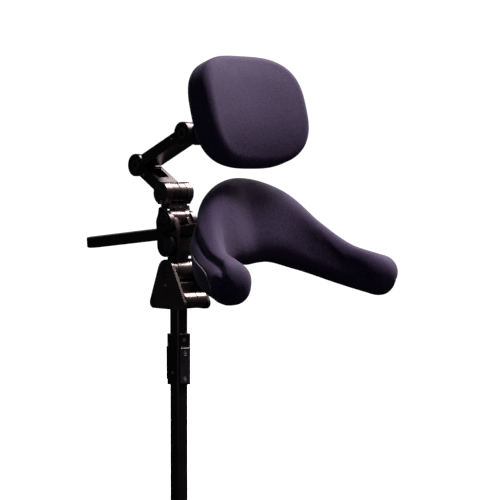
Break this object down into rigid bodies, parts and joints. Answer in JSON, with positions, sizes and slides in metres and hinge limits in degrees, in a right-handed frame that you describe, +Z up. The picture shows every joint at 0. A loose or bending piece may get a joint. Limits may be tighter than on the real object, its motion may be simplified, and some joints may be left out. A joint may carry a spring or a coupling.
{
  "type": "head and neck support",
  "caption": "Articulated head and neck support: padded head cushion and U-shaped neck cushion on black jointed links, with a square height post and receiver.",
  "frame": {"origin": "centre of the receiver's flat front mounting face", "axes": "+Z up along the post, the pads face -Y, +X lateral"},
  "size_m": [0.2624, 0.3968, 0.5552],
  "materials": {
    "anodised_black": "satin black anodised",
    "anodised_warm": "turned black anodised, warm highlights",
    "black_steel": "black oxide",
    "grey_steel": "dull grey",
    "black_plastic": "moulded, fine grain",
    "pad_fabric": "fine stretch knit over foam"
  },
  "bodies": {
    "receiver": {"receiver_sleeve": "anodised_black", "receiver_front_plate": "black_steel", "plate_screw_lower": "grey_steel", "plate_screw_upper": "grey_steel", "receiver_set_screw": "grey_steel"},
    "lock_screw": {"post_lock_screw": "grey_steel"},
    "post": {"post_bar": "anodised_black", "post_end_cap": "black_plastic", "post_head": "anodised_black", "base_plate_left": "anodised_warm", "base_plate_right": "anodised_warm", "front_spacer_left": "anodised_warm", "front_spacer_right": "anodised_warm", "rear_spacer": "anodised_black", "front_corner_bolt": "black_steel", "rear_corner_bolt": "black_steel", "base_pivot_bolt": "black_steel", "base_pivot_nut": "grey_steel", "base_washer_left": "black_steel", "base_washer_right": "black_steel", "base_set_screw": "grey_steel"},
    "collar": {"stop_collar": "anodised_black", "collar_set_screw": "grey_steel"},
    "hub": {"hub_body": "anodised_warm", "hub_plate_left": "anodised_black", "hub_plate_right": "anodised_black", "rod_clamp_screw": "black_steel", "hub_pivot_bolt": "black_steel", "hub_pivot_nut": "grey_steel"},
    "rod": {"depth_rod": "anodised_black", "rod_end_cap": "black_plastic"},
    "neck_ball": {"neck_ball_stud": "black_steel"},
    "neck_liner": {"neck_socket_liner": "black_plastic"},
    "neck_pad": {"neck_socket_cup": "anodised_black", "neck_retainer_ring": "black_steel", "neck_pad_shell": "black_plastic", "neck_cushion": "pad_fabric"},
    "middle_link": {"middle_link": "anodised_warm", "middle_bolt": "black_steel", "middle_nut": "grey_steel", "middle_pinch_screw": "grey_steel"},
    "rear_link": {"rear_link": "anodised_black", "rear_bolt": "black_steel", "rear_nut": "grey_steel", "rear_pinch_screw": "grey_steel"},
    "long_link": {"long_link": "anodised_black", "upper_bolt": "black_steel", "upper_nut": "grey_steel", "upper_pinch_screw": "grey_steel"},
    "upper_bracket": {"upper_bracket": "anodised_black"},
    "head_ball": {"head_ball_stud": "black_steel"},
    "head_liner": {"head_socket_liner": "black_plastic"},
    "head_pad": {"head_socket_cup": "anodised_black", "head_retainer_ring": "black_steel", "head_pad_shell": "black_plastic", "head_cushion": "pad_fabric"}
  },
  "joints": [
    {"name": "post_height", "type": "slide", "parent": "receiver", "child": "post", "axis": [0, 0, 1], "range_m": [0, 0.12]},
    {"name": "lock_turn", "type": "hinge", "parent": "receiver", "child": "lock_screw", "pos_m": [0, 0.0119, 0.0082], "axis": [0, 1, 0], "continuous": true},
    {"name": "collar_height", "type": "slide", "parent": "post", "child": "collar", "axis": [0, 0, 1], "range_m": [0, 0.028]},
    {"name": "base_tilt", "type": "hinge", "parent": "post", "child": "hub", "pos_m": [0, 0.0119, 0.1091], "axis": [1, 0, 0], "range_deg": [-25, 25]},
    {"name": "rod_depth", "type": "slide", "parent": "hub", "child": "rod", "axis": [0, -0.9947, 0.1028], "range_m": [-0.03, 0.06]},
    {"name": "neck_pad_roll", "type": "hinge", "parent": "rod", "child": "neck_ball", "pos_m": [0, -0.0511, 0.16024], "axis": [0, -0.9947, 0.1028], "range_deg": [-8, 8]},
    {"name": "neck_pad_yaw", "type": "hinge", "parent": "neck_ball", "child": "neck_liner", "pos_m": [0, -0.0511, 0.16024], "axis": [0, 0, 1], "range_deg": [-12, 12]},
    {"name": "neck_pad_pitch", "type": "hinge", "parent": "neck_liner", "child": "neck_pad", "pos_m": [0, -0.0511, 0.16024], "axis": [1, 0, 0], "range_deg": [-3, 15]},
    {"name": "hub_top_tilt", "type": "hinge", "parent": "hub", "child": "middle_link", "pos_m": [0, 0.0149, 0.1701], "axis": [1, 0, 0], "range_deg": [-15, 1]},
    {"name": "middle_knuckle", "type": "hinge", "parent": "middle_link", "child": "rear_link", "pos_m": [0, 0.0203, 0.1985], "axis": [1, 0, 0], "range_deg": [-30, 1]},
    {"name": "rear_knuckle", "type": "hinge", "parent": "rear_link", "child": "long_link", "pos_m": [0, 0.0736, 0.2308], "axis": [1, 0, 0], "range_deg": [-30, 1]},
    {"name": "upper_knuckle", "type": "hinge", "parent": "long_link", "child": "upper_bracket", "pos_m": [0, -0.0097, 0.2666], "axis": [1, 0, 0], "range_deg": [-25, 1]},
    {"name": "head_pad_roll", "type": "hinge", "parent": "upper_bracket", "child": "head_ball", "pos_m": [0, -0.06413, 0.27665], "axis": [0, -0.9834, 0.1816], "range_deg": [-8, 8]},
    {"name": "head_pad_yaw", "type": "hinge", "parent": "head_ball", "child": "head_liner", "pos_m": [0, -0.06413, 0.27665], "axis": [0, 0.284, 0.9588], "range_deg": [-12, 12]},
    {"name": "head_pad_pitch", "type": "hinge", "parent": "head_liner", "child": "head_pad", "pos_m": [0, -0.06413, 0.27665], "axis": [1, 0, 0], "range_deg": [-15, 1]}
  ]
}
